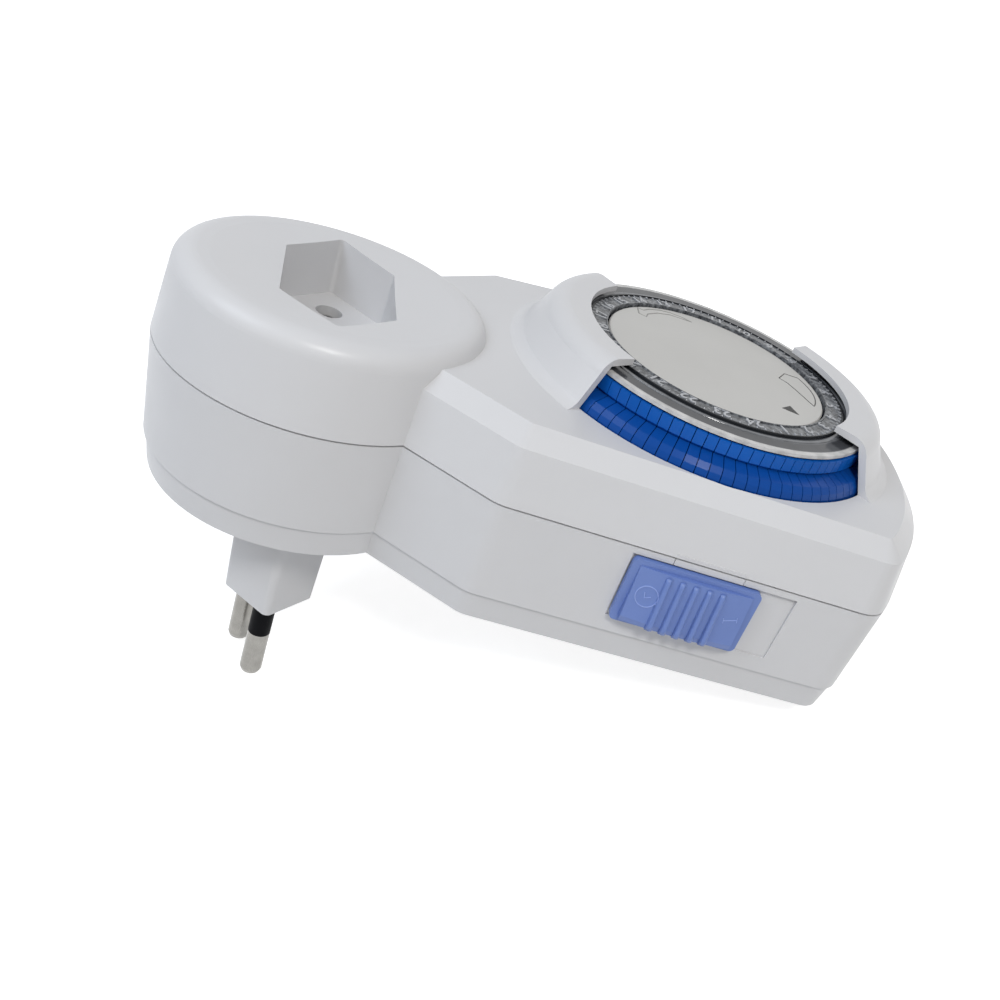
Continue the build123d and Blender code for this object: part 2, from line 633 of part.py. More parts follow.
SWITCH_FACE_Y = LEVER_Y + SWITCH_WIDTH / 2
MOTOR_BOTTOM_Z = PLATE_Z - MOTOR_HEIGHT
TAB_TOP_Z = SWITCH_BOTTOM_Z + TERMINAL_HEIGHT
live_feed = bent_strip(PIN_TOP_Z, 0, SWITCH_X - TERMINAL_OFFSET, LIVE_PLACE[1], SWITCH_FACE_Y, TAB_TOP_Z)
switched_strip = bent_strip(LIVE_CONTACT_Z, 0, SWITCH_X + TERMINAL_OFFSET, LIVE_PLACE[1], SWITCH_FACE_Y, TAB_TOP_Z)
neutral_strip = bent_strip(PIN_TOP_Z, 0, MOTOR_X, NEUTRAL_PLACE[1], MOTOR_Y, MOTOR_BOTTOM_Z)
save(live_feed, "live_feed_strip")
save(switched_strip, "switched_live_strip")
save(neutral_strip, "neutral_strip")

# ---------------------------------------------------------------- gear plate and motor
with BuildPart() as gear_plate:
    with BuildSketch(Plane.XY.offset(PLATE_Z)):
        with Locations(PLATE_CENTRE):
            Rectangle(*PLATE_SIZE)
        with Locations(*PLATE_POSTS):
            Circle(PLATE_SCREW_RADIUS + SLIP, mode=Mode.SUBTRACT)
        with Locations((MOTOR_X, MOTOR_Y)):
            Circle(MOTOR_SHAFT_RADIUS + GAP, mode=Mode.SUBTRACT)
    extrude(amount=PLATE_THICKNESS)
save(gear_plate, "gear_plate")

with BuildPart() as motor_body:
    with BuildSketch(Plane.XY.offset(MOTOR_BOTTOM_Z)):
        with Locations((MOTOR_X, MOTOR_Y)):
            Circle(MOTOR_RADIUS)
    extrude(amount=MOTOR_HEIGHT)
    with BuildSketch(Plane.XY.offset(PLATE_Z)):
        with Locations((MOTOR_X, MOTOR_Y)):
            Circle(MOTOR_SHAFT_RADIUS + SLIP)
    extrude(amount=-MOTOR_SHAFT_SEAT, mode=Mode.SUBTRACT)
save(motor_body, "motor_body")

with BuildPart() as motor_pinion:
    with BuildSketch(Plane.XY.offset(PLATE_Z - MOTOR_SHAFT_SEAT + GAP)):
        with Locations((MOTOR_X, MOTOR_Y)):
            Circle(MOTOR_SHAFT_RADIUS)
    extrude(amount=WHEEL_TOP_Z - PLATE_Z + MOTOR_SHAFT_SEAT - GAP)
    with BuildSketch(Plane.XY.offset(WHEEL_Z)):
        with Locations((MOTOR_X, MOTOR_Y)):
            add(gear_outline(MOTOR_TEETH, MOTOR_MODULE, MOTOR_ANGLE + 180))
    extrude(amount=WHEEL_HEIGHT)
save(motor_pinion, "motor_pinion")

# the wheel has a gap where the motor's tooth points, the pinion a tooth towards the dial
with BuildPart() as transfer_gear:
    with BuildSketch(Plane.XY.offset(WHEEL_Z)):
        with Locations((TRANSFER_X, TRANSFER_Y)):
            add(gear_outline(WHEEL_TEETH, MOTOR_MODULE, MOTOR_ANGLE + 180 / WHEEL_TEETH))
    extrude(amount=WHEEL_HEIGHT)
    with BuildSketch(Plane.XY.offset(WHEEL_TOP_Z)):
        with Locations((TRANSFER_X, TRANSFER_Y)):
            Circle(PINION_PITCH - 1.6)
    extrude(amount=RING_GEAR_Z - 0.3 - WHEEL_TOP_Z)
    with BuildSketch(Plane.XY.offset(RING_GEAR_Z - 0.3)):
        with Locations((TRANSFER_X, TRANSFER_Y)):
            add(gear_outline(PINION_TEETH, DIAL_MODULE, TRANSFER_ANGLE + 180))
    extrude(amount=RING_GEAR_HEIGHT)
    with BuildSketch(Plane.XY.offset(WHEEL_Z)):
        with Locations((TRANSFER_X, TRANSFER_Y)):
            Circle(GEAR_AXLE_RADIUS + SLIP)
    extrude(amount=10, mode=Mode.SUBTRACT)
save(transfer_gear, "transfer_gear")

with BuildPart() as transfer_axle:
    with BuildSketch(Plane.XY.offset(PLATE_TOP_Z)):
        with Locations((TRANSFER_X, TRANSFER_Y)):
            Circle(GEAR_AXLE_RADIUS)
    extrude(amount=RING_GEAR_Z + RING_GEAR_HEIGHT + 0.4 - PLATE_TOP_Z)
save(transfer_axle, "transfer_axle")

# ---------------------------------------------------------------- dial
with BuildPart() as dial_axle:
    with BuildSketch(Plane.XY.offset(PLATE_TOP_Z)):
        with Locations((DIAL_X, 0)):
            Circle(AXLE_RADIUS)
    extrude(amount=DISC_TOP_Z - DISC_THICKNESS - PLATE_TOP_Z)
save(dial_axle, "dial_axle")

with BuildPart() as centre_disc:
    with BuildSketch(Plane.XY.offset(DISC_TOP_Z - DISC_THICKNESS)):
        with Locations((DIAL_X, 0)):
            Circle(DISC_RADIUS)
    extrude(amount=DISC_THICKNESS)
    chamfer(centre_disc.edges().group_by(Axis.Z)[-1], 0.25)
save(centre_disc, "centre_disc")

with BuildPart() as dial_drum:
    with BuildSketch(Plane.XY.offset(RING_GEAR_Z)):
        with Locations((DIAL_X, 0)):
            add(gear_outline(RING_GEAR_TEETH, DIAL_MODULE, TRANSFER_ANGLE + 180 / RING_GEAR_TEETH))
    extrude(amount=RING_GEAR_HEIGHT)
    with BuildSketch(Plane.XY.offset(RING_GEAR_Z + RING_GEAR_HEIGHT)):
        with Locations((DIAL_X, 0)):
            Circle(DRUM_RADIUS)
    extrude(amount=WEB_THICKNESS)
    with BuildSketch(Plane.XY.offset(RING_GEAR_Z + RING_GEAR_HEIGHT + WEB_THICKNESS)):
        with Locations((DIAL_X, 0)):
            Circle(DRUM_RADIUS)
            Circle(DRUM_RADIUS - DRUM_WALL, mode=Mode.SUBTRACT)
    extrude(amount=DRUM_TOP_Z - RING_GEAR_Z - RING_GEAR_HEIGHT - WEB_THICKNESS)
    with BuildSketch(Plane.XY.offset(PLATE_TOP_Z + GAP)):
        with Locations((DIAL_X, 0)):
            Circle(HUB_RADIUS)
    extrude(amount=DISC_TOP_Z - DISC_THICKNESS - PLATE_TOP_Z - 2 * GAP)
    with BuildSketch(Plane.XY.offset(PLATE_TOP_Z)):
        with Locations((DIAL_X, 0)):
            Circle(AXLE_RADIUS + SLIP)
    extrude(amount=RIM_Z, mode=Mode.SUBTRACT)
save(dial_drum, "dial_drum")

with BuildPart() as dial_ring:
    with BuildSketch(Plane.XY.offset(DRUM_TOP_Z)):
        with Locations((DIAL_X, 0)):
            Circle(RING_RADIUS)
            Circle(DISC_RADIUS + GAP, mode=Mode.SUBTRACT)
    extrude(amount=RING_THICKNESS - 0.3)
    with BuildSketch(Plane.XY.offset(DRUM_TOP_Z)):
        with Locations((DIAL_X, 0)):
            Circle(BAND_RADIUS)
            Circle(DISC_RADIUS + GAP, mode=Mode.SUBTRACT)
    extrude(amount=RING_THICKNESS)
save(dial_ring, "dial_ring")

# ---------------------------------------------------------------- trip segments
SEGMENT_PITCH = 360 / (HOURS * SEGMENTS_PER_HOUR)

with BuildPart() as trip_segment:
    with BuildSketch(Plane.XZ):
        with BuildLine():
            Polyline(
                (SEGMENT_INNER, SEGMENT_BOTTOM_Z), (SEGMENT_STEP_RADIUS, SEGMENT_BOTTOM_Z),
                (FLARE_RADIUS, FLARE_Z - FLARE_LIP), (FLARE_RADIUS, FLARE_Z),
                (FLARE_RADIUS - 0.4, FLARE_Z + FLARE_RISE / 2), (FLARE_RADIUS - 1.2, FLARE_Z + FLARE_RISE),
                (SEGMENT_STEP_RADIUS - SEGMENT_STEP_DEPTH, SEGMENT_STEP_Z - SEGMENT_STEP_DEPTH),
                (SEGMENT_STEP_RADIUS, SEGMENT_STEP_Z), (SEGMENT_STEP_RADIUS, SEGMENT_TOP_Z),
                (SEGMENT_INNER, SEGMENT_TOP_Z), close=True,
            )
        make_face()
    extrude(amount=FLARE_RADIUS * math.tan(math.radians(SEGMENT_PITCH)), both=True)
    # flanks on radii of the dial, so that neighbours stay parallel across their gap
    for side in (-1, 1):
        lean = math.radians(SEGMENT_PITCH / 2)
        outwards = Vector(-math.sin(lean), side * math.cos(lean), 0)
        split(bisect_by=Plane(origin=outwards * (-SEGMENT_SPACING / 2), z_dir=outwards), keep=Keep.BOTTOM)

for hour in range(HOURS):
    with BuildPart() as hour_segments:
        for quarter in range(SEGMENTS_PER_HOUR):
            step = hour * SEGMENTS_PER_HOUR + quarter - SEGMENTS_PER_HOUR / 2 + 0.5
            with Locations(Location((DIAL_X, 0, 0), (0, 0, step * SEGMENT_PITCH - 90))):
                add(trip_segment.part)
    save(hour_segments, f"segments_{hour:02d}")

# ---------------------------------------------------------------- slide switch
SIDE_SEAT = SIDE.offset(KNOB_CLEARANCE - KNOB_RECESS)


def knob_relief(rise, width, height, count):
    """Bars on the knob's face, bent round the wall and fullest along their bottom edge."""
    centre = SIDE.from_local_coords((KNOB_CENTRE, 0, 0))
    bottom_z = KNOB_CENTRE_Z - GRIP_HEIGHT / 2
    with BuildPart() as relief:
        with BuildSketch(Plane(origin=centre, x_dir=SIDE.z_dir, z_dir=SIDE.x_dir * -1)):
            with BuildLine():
                Polyline(
                    (0, bottom_z), (0.9 * rise, bottom_z), (rise, bottom_z + 0.1 * height),
                    (0.6 * rise, bottom_z + height), (0, bottom_z + height), close=True,
                )
            make_face()
        revolve(axis=Axis(SIDE.from_local_coords((KNOB_CENTRE, 0, -GRIP_BEND)), (0, 0, 1)))
        with BuildSketch(SIDE):
            with Locations((KNOB_CENTRE, KNOB_CENTRE_Z)):
                with GridLocations(RIB_PITCH, 1, count, 1):
                    Rectangle(width, KNOB_HEIGHT)
        extrude(amount=KNOB_HEIGHT, mode=Mode.INTERSECT)
    return relief.part


FACE_RISE = KNOB_CLEARANCE - KNOB_RECESS + KNOB_FLANGE
with BuildPart() as mode_slider:
    with BuildSketch(SIDE_SEAT):
        with Locations((KNOB_CENTRE, KNOB_CENTRE_Z)):
            RectangleRounded(KNOB_LENGTH, KNOB_HEIGHT, KNOB_CORNER)
    extrude(amount=KNOB_FLANGE)
    # raised grip and its finger ribs
    add(knob_relief(FACE_RISE + GRIP_RISE, GRIP_LENGTH, GRIP_HEIGHT, 1))
    add(knob_relief(FACE_RISE + GRIP_RISE + RIB_RISE, RIB_WIDTH, GRIP_HEIGHT - 1.2, RIB_COUNT))
    # shank through the wall and the carrier behind it
    with BuildSketch(SIDE_SEAT):
        with Locations((KNOB_CENTRE, KNOB_CENTRE_Z)):
            Rectangle(SHANK_LENGTH, SHANK_HEIGHT)
    extrude(amount=-(WALL - KNOB_RECESS + CARRIER_GAP + GAP))
    with BuildSketch(SIDE.offset(-WALL - CARRIER_GAP)):
        with Locations((KNOB_CENTRE, KNOB_CENTRE_Z)):
            Rectangle(CARRIER_LENGTH, CARRIER_HEIGHT)
    extrude(amount=-CARRIER_THICKNESS)
save(mode_slider, "mode_slider")

BRIDGE_PLANE = SIDE.offset(-WALL - CARRIER_GAP - CARRIER_THICKNESS)
with BuildPart() as slide_bridge:
    with BuildSketch(BRIDGE_PLANE):
        with Locations((KNOB_CENTRE, KNOB_CENTRE_Z)):
            Rectangle(CARRIER_LENGTH - 2 * BRIDGE_INSET, CARRIER_HEIGHT / 3)
    extrude(amount=-BRIDGE_THICKNESS)
save(slide_bridge, "slide_bridge")

with BuildPart() as slide_contacts:
    with BuildSketch(BRIDGE_PLANE.offset(-BRIDGE_THICKNESS - GAP)):
        with Locations((KNOB_CENTRE + KNOB_TRAVEL, (FLOOR_Z + KNOB_CENTRE_Z + SLIDE_CONTACT_LAP) / 2)):
            with GridLocations(SLIDE_CONTACT_SPACING, 1, 2, 1):
                Rectangle(SLIDE_CONTACT_SPACING / 3, KNOB_CENTRE_Z + SLIDE_CONTACT_LAP - FLOOR_Z)
    extrude(amount=-BRIDGE_THICKNESS)
save(slide_contacts, "slide_contacts")

# ---------------------------------------------------------------- trip lever and snap switch
with BuildPart() as trip_lever:
    with BuildSketch(Plane.XZ.offset(-LEVER_Y)):
        with Locations((LEVER_PIVOT_X, LEVER_PIVOT_Z)):
            Circle(LEVER_HUB_RADIUS)
        with Locations((LEVER_PIVOT_X + LEVER_LENGTH / 2, LEVER_PIVOT_Z)):
            Rectangle(LEVER_LENGTH, LEVER_BAR)
        with Locations((DIAL_X, (NOSE_TOP_Z + LEVER_PIVOT_Z) / 2)):
            Rectangle(2 * NOSE_HALF_WIDTH, NOSE_TOP_Z - LEVER_PIVOT_Z)
    extrude(amount=LEVER_WIDTH / 2, both=True)
    chamfer(trip_lever.edges().filter_by(Axis.Y).group_by(Axis.Z)[-1], 1.0)
    with BuildSketch(Plane.XZ.offset(-LEVER_Y)):
        with Locations((LEVER_PIVOT_X, LEVER_PIVOT_Z)):
            Circle(TRUNNION_RADIUS)
    extrude(amount=LEVER_WIDTH / 2 + GAP + UPRIGHT_THICKNESS, both=True)
save(trip_lever, "trip_lever")

PLUNGER_TOP_Z = LEVER_PIVOT_Z - LEVER_BAR / 2 - GAP
with BuildPart() as snap_switch:
    with BuildSketch(Plane.XY.offset(SWITCH_BOTTOM_Z)):
        with Locations((SWITCH_X, LEVER_Y)):
            Rectangle(SWITCH_LENGTH, SWITCH_WIDTH)
    extrude(amount=SWITCH_HEIGHT)
    chamfer(snap_switch.edges().filter_by(Axis.Y), 0.6)
    with BuildSketch(Plane.XY.offset(SWITCH_TOP_Z)):
        with Locations((PLUNGER_X, LEVER_Y)):
            Circle(PLUNGER_RADIUS + SLIP)
    extrude(amount=-4.5, mode=Mode.SUBTRACT)
save(snap_switch, "snap_switch")

with BuildPart() as switch_plunger:
    with BuildSketch(Plane.XY.offset(SWITCH_TOP_Z - 3.2)):
        with Locations((PLUNGER_X, LEVER_Y)):
            Circle(PLUNGER_RADIUS)
    extrude(amount=PLUNGER_TOP_Z - SWITCH_TOP_Z + 3.2)
save(switch_plunger, "switch_plunger")
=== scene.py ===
"""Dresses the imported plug-in timer switch: materials, printed marks, camera, stage and lights."""
import json
import math

import bmesh
import bpy
from mathutils import Matrix, Vector
from mathutils.bvhtree import BVHTree


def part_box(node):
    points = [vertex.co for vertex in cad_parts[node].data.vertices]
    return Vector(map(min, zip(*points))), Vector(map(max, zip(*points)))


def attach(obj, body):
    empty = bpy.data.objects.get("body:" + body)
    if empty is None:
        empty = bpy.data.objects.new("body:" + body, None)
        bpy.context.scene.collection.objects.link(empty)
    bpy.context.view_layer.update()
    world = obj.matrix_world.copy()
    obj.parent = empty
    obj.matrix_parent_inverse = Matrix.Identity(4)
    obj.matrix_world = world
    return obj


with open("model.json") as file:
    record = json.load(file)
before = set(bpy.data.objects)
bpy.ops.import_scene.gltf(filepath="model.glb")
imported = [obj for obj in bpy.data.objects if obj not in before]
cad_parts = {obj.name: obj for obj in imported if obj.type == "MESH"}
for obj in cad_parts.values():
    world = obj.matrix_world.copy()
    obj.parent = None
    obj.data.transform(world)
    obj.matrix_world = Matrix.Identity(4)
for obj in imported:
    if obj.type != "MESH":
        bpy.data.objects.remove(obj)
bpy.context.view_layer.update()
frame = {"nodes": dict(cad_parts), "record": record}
nodes = frame["nodes"]
scene = bpy.context.scene
MM = 0.001

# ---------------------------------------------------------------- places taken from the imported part
disc_low, disc_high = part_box("centre_disc")
DIAL_X = (disc_low.x + disc_high.x) / 2
DISC_TOP = disc_high.z
RING_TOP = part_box("dial_ring")[1].z
PIN_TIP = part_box("live_pin")[0].z
BODY_LOW, BODY_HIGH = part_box("back_shell")

# the part's own sizes that no box gives: its parting line, the segments' step and the side wall
SPLIT_Z = 43.6 * MM
SEGMENT_STEP_Z = 59.6 * MM
SHOULDER = Vector((27.7, -34.3, 0.0)) * MM
SIDE_ANGLE = math.radians(8.843)
SEAM_FROM, SEAM_TO = 0.01 * MM, 0.29 * MM


# ---------------------------------------------------------------- node helpers
class Nodes:
    """Short names for building the node tree of a material or a world."""

    def __init__(self, owner, output="ShaderNodeOutputMaterial"):
        owner.use_nodes = True
        self.tree = owner.node_tree
        self.tree.nodes.clear()
        self.output = self.new(output)

    def new(self, kind, **inputs):
        """New node with fixed values in its sockets; _ stands for a space in a socket's name."""
        node = self.tree.nodes.new(kind)
        for name, value in inputs.items():
            node.inputs[name.replace("_", " ")].default_value = value
        return node

    def link(self, source, target):
        self.tree.links.new(source, target)

    def coordinates(self):
        return self.new("ShaderNodeTexCoord").outputs["Object"]

    def noise(self, vector, scale, detail=3.0):
        """Noise from 0 to 1 over the given coordinates."""
        node = self.new("ShaderNodeTexNoise", Scale=scale, Detail=detail)
        self.link(vector, node.inputs["Vector"])
        return node.outputs["Fac"]

    def scaled(self, vector, scale, location=(0.0, 0.0, 0.0)):
        """Coordinates multiplied by scale, then moved by location."""
        node = self.new("ShaderNodeMapping", Location=location, Scale=scale)
        self.link(vector, node.inputs["Vector"])
        return node.outputs[0]

    def spread(self, value, low, high, from_low=0.0, from_high=1.0):
        """Value mapped from its own range to low and high, and held there outside it."""
        node = self.new(
            "ShaderNodeMapRange", From_Min=from_low, From_Max=from_high, To_Min=low, To_Max=high,
        )
        self.link(value, node.inputs["Value"])
        return node.outputs["Result"]

    def math(self, operation, first, second):
        node = self.new("ShaderNodeMath")
        node.operation = operation
        for socket, value in zip(node.inputs, (first, second)):
            if isinstance(value, (int, float)):
                socket.default_value = value
            else:
                self.link(value, socket)
        return node.outputs[0]

    def mix_color(self, factor, first, second):
        """Mix of two colours, each a tuple or a socket.

        The Mix node repeats its sockets' names, so the colour ones are taken by number.
        """
        node = self.new("ShaderNodeMix")
        node.data_type = "RGBA"
        self.link(factor, node.inputs["Factor"])
        for slot, value in ((6, first), (7, second)):
            if isinstance(value, tuple):
                node.inputs[slot].default_value = (*value, 1.0)
            else:
                self.link(value, node.inputs[slot])
        return node.outputs[2]

    def mix_shader(self, factor, first, second):
        node = self.new("ShaderNodeMixShader")
        for socket, source in zip(node.inputs, (factor, first, second)):
            self.link(source, socket)
        return node.outputs[0]

    def bump(self, height, strength, distance):
        node = self.new("ShaderNodeBump", Strength=strength, Distance=distance)
        self.link(height, node.inputs["Height"])
        return node.outputs["Normal"]

    def principled(self, base_color, roughness, normal=None, **constants):
        """Principled shader from linked sockets, with the rest as fixed values."""
        bsdf = self.new("ShaderNodeBsdfPrincipled", **constants)
        self.link(base_color, bsdf.inputs["Base Color"])
        self.link(roughness, bsdf.inputs["Roughness"])
        if normal is not None:
            self.link(normal, bsdf.inputs["Normal"])
        self.surface(bsdf.outputs[0])

    def seen_directly(self):
        """1 for rays from the camera, from a reflection or through clear plastic, else 0."""
        path = self.new("ShaderNodeLightPath")
        seen = self.math("MAXIMUM", path.outputs["Is Camera Ray"], path.outputs["Is Glossy Ray"])
        return self.math("MAXIMUM", seen, path.outputs["Is Transmission Ray"])

    def surface(self, shader):
        self.link(shader, self.output.inputs["Surface"])


def scale_color(color, factor, offset=0.0):
    """Colour made lighter or darker, and never over 1."""
    return tuple(min(1.0, part * factor + offset) for part in color)


# ---------------------------------------------------------------- kinds of material
PLASTIC_IOR = 1.49
# painted shade for the inside of the parting groove
SEAM_SHADE = (0.14, 0.14, 0.145)

# fineness of the noises, in cells per metre
DRIFT_SCALE = 28.0
SMEAR_SCALE = 90.0
SKIN_SCALE = 2500.0
STAIN_SCALE = 350.0
DRAWN_SCALE = 3500.0
WEAR_SCALE = 1500.0
FLOW_SCALE = 420.0
SPECKLE_SCALE = 1150.0
SCRATCH_SCALE = 900.0
FLOOR_SCALE = 40.0

# depth of the bumps
SKIN_DEPTH = 0.04 * MM
DRAWN_DEPTH = 0.03 * MM
EMBOSSED_DEPTH = 0.25 * MM

DRAWN_STRETCH = (1.0, 1.0, 0.04)
TONE_STEP = 0.6 * MM


def moulded_plastic(name, color, roughness, grain, tint, specular=0.5, lower=None, seam=None):
    """Injection-moulded plastic: faint colour drift, fine skin grain, uneven gloss.

    lower is a painted shade: a deeper colour for what lies under a height, as (height, colour).
    seam is the pair of heights between which the parting groove is painted darker, as painted shade.
    """
    material = bpy.data.materials.new(name)
    n = Nodes(material)
    place = n.coordinates()
    drift = n.spread(n.noise(place, DRIFT_SCALE), 0.0, 1.0, 0.3, 0.7)
    tone = n.mix_color(drift, scale_color(color, 1 - tint), scale_color(color, 1 + tint))
    split = n.new("ShaderNodeSeparateXYZ")
    n.link(place, split.inputs[0])
    height = split.outputs["Z"]
    # painted shade in the parting groove between the two heights
    if seam:
        above = n.math("GREATER_THAN", height, seam[0])
        below = n.math("LESS_THAN", height, seam[1])
        tone = n.mix_color(n.math("MULTIPLY", above, below), tone, SEAM_SHADE)
    # painted shade over what lies under the height
    if lower:
        limit, painted_shade_color = lower
        under = n.spread(height, 1.0, 0.0, limit - TONE_STEP, limit)
        tone = n.mix_color(under, tone, painted_shade_color)
    smears = n.noise(place, SMEAR_SCALE, 4.0)
    gloss = n.spread(smears, roughness - 0.05, roughness + 0.06, 0.25, 0.75)
    skin = n.bump(n.noise(place, SKIN_SCALE, 2.0), grain, SKIN_DEPTH)
    n.principled(tone, gloss, skin, IOR=PLASTIC_IOR, Specular_IOR_Level=specular)
    return material


def drawn_metal(name, color, roughness):
    """Plated or stamped metal with faint stains and fine drawn lines along Z."""
    material = bpy.data.materials.new(name)
    n = Nodes(material)
    place = n.coordinates()
    lines = n.noise(n.scaled(place, DRAWN_STRETCH), DRAWN_SCALE)
    stains = n.spread(n.noise(place, STAIN_SCALE, 4.0), 0.0, 1.0, 0.35, 0.7)
    n.principled(
        n.mix_color(stains, color, scale_color(color, 0.82)),
        n.spread(lines, roughness - 0.06, roughness + 0.1, 0.3, 0.7),
        n.bump(lines, 0.08, DRAWN_DEPTH),
        Metallic=1.0,
    )
    return material


def printed_ink(name, color):
    """Pad-printed ink, slightly uneven."""
    material = bpy.data.materials.new(name)
    n = Nodes(material)
    wear = n.noise(n.coordinates(), WEAR_SCALE)
    worn = n.spread(wear, 0.0, 1.0, 0.4, 0.75)
    n.principled(
        n.mix_color(worn, color, scale_color(color, 1.35, 0.01)),
        n.spread(wear, 0.4, 0.6, 0.3, 0.7),
    )
    return material


# tone of the ring's bands: radius in millimetres and colour, from the inside out; the dark bands are
# painted shade of the dial's inside seen through the clear plastic, and the pale outer band is a
# painted highlight on the ring's lit edge
RING_SHADE_AND_HIGHLIGHT_BANDS = (
    (21.0, (0.110, 0.116, 0.126)), (24.7, (0.110, 0.116, 0.126)),
    (25.0, (0.012, 0.014, 0.018)), (25.5, (0.016, 0.018, 0.022)),
    (25.9, (0.160, 0.165, 0.175)), (26.7, (0.180, 0.185, 0.195)),
    (27.1, (0.050, 0.052, 0.058)), (29.3, (0.062, 0.064, 0.070)),
    (29.6, (0.640, 0.630, 0.615)), (32.0, (0.680, 0.670, 0.650)),
)
DIGIT_BAND_RADIUS = 24.9 * MM
SHADE = (0.030, 0.032, 0.036)
# painted glint and painted shade colours for the embossed band
GLINT = (0.34, 0.355, 0.37)
HOLLOW_SHADE = (0.014, 0.016, 0.020)


def ring_plastic(name):
    """Clear plastic over the shaded inside of the dial: its bands differ in tone by radius, with
    painted shade where the inside shows through and a painted highlight along the outer edge.
    """
    material = bpy.data.materials.new(name)
    n = Nodes(material)
    place = n.coordinates()
    radius = n.new("ShaderNodeVectorMath")
    radius.operation = "LENGTH"
    n.link(n.scaled(place, (1.0, 1.0, 0.0), (-DIAL_X, 0.0, 0.0)), radius.inputs[0])
    distance = radius.outputs["Value"]

    low, high = RING_SHADE_AND_HIGHLIGHT_BANDS[0][0], RING_SHADE_AND_HIGHLIGHT_BANDS[-1][0]
    ramp = n.new("ShaderNodeValToRGB")
    n.link(n.spread(distance, 0.0, 1.0, low * MM, high * MM), ramp.inputs["Fac"])
    stops = ramp.color_ramp.elements
    while len(stops) < len(RING_SHADE_AND_HIGHLIGHT_BANDS):
        stops.new(0.5)
    for stop, (band_radius, color) in zip(stops, RING_SHADE_AND_HIGHLIGHT_BANDS):
        stop.position = (band_radius - low) / (high - low)
        stop.color = (*color, 1.0)
    flow = n.spread(n.noise(place, FLOW_SCALE), 0.0, 0.40, 0.35, 0.75)
    tone = n.mix_color(flow, ramp.outputs["Color"], SHADE)

    # the band under the digits is embossed, speckled with painted glints and with painted shade in
    # its hollows
    speckle = n.noise(place, SPECKLE_SCALE, 2.0)
    embossed = n.math("LESS_THAN", distance, DIGIT_BAND_RADIUS)
    glint = n.math("MULTIPLY", embossed, n.spread(speckle, 0.0, 0.45, 0.50, 0.66))
    hollow_shade = n.math("MULTIPLY", embossed, n.spread(speckle, 0.7, 0.0, 0.34, 0.48))
    tone = n.mix_color(hollow_shade, n.mix_color(glint, tone, GLINT), HOLLOW_SHADE)
    n.principled(
        tone,
        n.spread(n.noise(place, SCRATCH_SCALE), 0.07, 0.16, 0.3, 0.7),
        n.bump(n.math("MULTIPLY", embossed, speckle), 0.35, EMBOSSED_DEPTH),
        IOR=PLASTIC_IOR, Specular_IOR_Level=0.22,
    )
    return material


FLOOR_TONES = ((0.68, 0.68, 0.68), (0.72, 0.72, 0.72))
FLOOR_GLOW = 0.76


def pale_floor(name):
    """Floor that shows white to the camera, keeps the part's shadow and is clear from below."""
    material = bpy.data.materials.new(name)
    n = Nodes(material)
    diffuse = n.new("ShaderNodeBsdfDiffuse")
    speck = n.noise(n.coordinates(), FLOOR_SCALE, 2.0)
    n.link(n.mix_color(speck, *FLOOR_TONES), diffuse.inputs["Color"])
    glow = n.new("ShaderNodeEmission")
    n.link(n.math("MULTIPLY", n.seen_directly(), FLOOR_GLOW), glow.inputs["Strength"])
    total = n.new("ShaderNodeAddShader")
    n.link(diffuse.outputs[0], total.inputs[0])
    n.link(glow.outputs[0], total.inputs[1])
    clear = n.new("ShaderNodeBsdfTransparent")
    from_below = n.new("ShaderNodeNewGeometry").outputs["Backfacing"]
    n.surface(n.mix_shader(from_below, total.outputs[0], clear.outputs[0]))
    return material


# ---------------------------------------------------------------- materials
HOUSING = moulded_plastic(
    "housing_plastic_skin", (0.628, 0.626, 0.632), 0.34, grain=0.05, tint=0.012, specular=0.32,
    seam=(SPLIT_Z + SEAM_FROM, SPLIT_Z + SEAM_TO),
)
DISC = moulded_plastic(
    "disc_plastic", (0.535, 0.525, 0.50), 0.42, grain=0.05, tint=0.02, specular=0.3,
)
BLUE = moulded_plastic(
    "segment_plastic", (0.005, 0.100, 0.43), 0.22, grain=0.04, tint=0.10, specular=0.12,
    # the segments' lower tier is painted darker, as painted shade
    lower=(SEGMENT_STEP_Z, (0.0035, 0.060, 0.29)),
)
KNOB = moulded_plastic("knob_plastic_skin", (0.130, 0.203, 0.48), 0.38, grain=0.06, tint=0.03)
BLACK = moulded_plastic(
    "black_plastic_skin", (0.004, 0.004, 0.005), 0.5, grain=0.05, tint=0.1, specular=0.05,
)
GEAR_WHITE = moulded_plastic("gear_plastic", (0.66, 0.65, 0.60), 0.4, grain=0.04, tint=0.03)
NUMERAL = moulded_plastic(
    "raised_numerals", (0.36, 0.37, 0.39), 0.14, grain=0.05, tint=0.2, specular=0.8,
)
ICON = moulded_plastic("raised_symbols", (0.25, 0.34, 0.66), 0.30, grain=0.05, tint=0.04)
NICKEL = drawn_metal("nickel_plate", (0.31, 0.30, 0.278), 0.24)
BRASS = drawn_metal("stamped_brass", (0.72, 0.55, 0.27), 0.3)
STEEL = drawn_metal("zinc_steel", (0.62, 0.62, 0.64), 0.32)
CLEAR = ring_plastic("clear_polycarbonate")
INK_DARK = printed_ink("printed_dark", (0.014, 0.014, 0.013))
INK_GREY = printed_ink("printed_grey", (0.22, 0.215, 0.20))

BY_SLOT = {
    "housing_plastic": HOUSING, "white_plastic": GEAR_WHITE, "blue_plastic": BLUE,
    "knob_plastic": KNOB, "black_plastic": BLACK, "clear_plastic": CLEAR,
    "nickel_brass": NICKEL, "brass": BRASS, "steel": STEEL,
}
for entry in frame["record"]["subparts"]:
    node = nodes[entry["node"]]
    node.data.materials.clear()
    node.data.materials.append(BY_SLOT[entry["material_slot"]])
nodes["centre_disc"].data.materials[0] = DISC

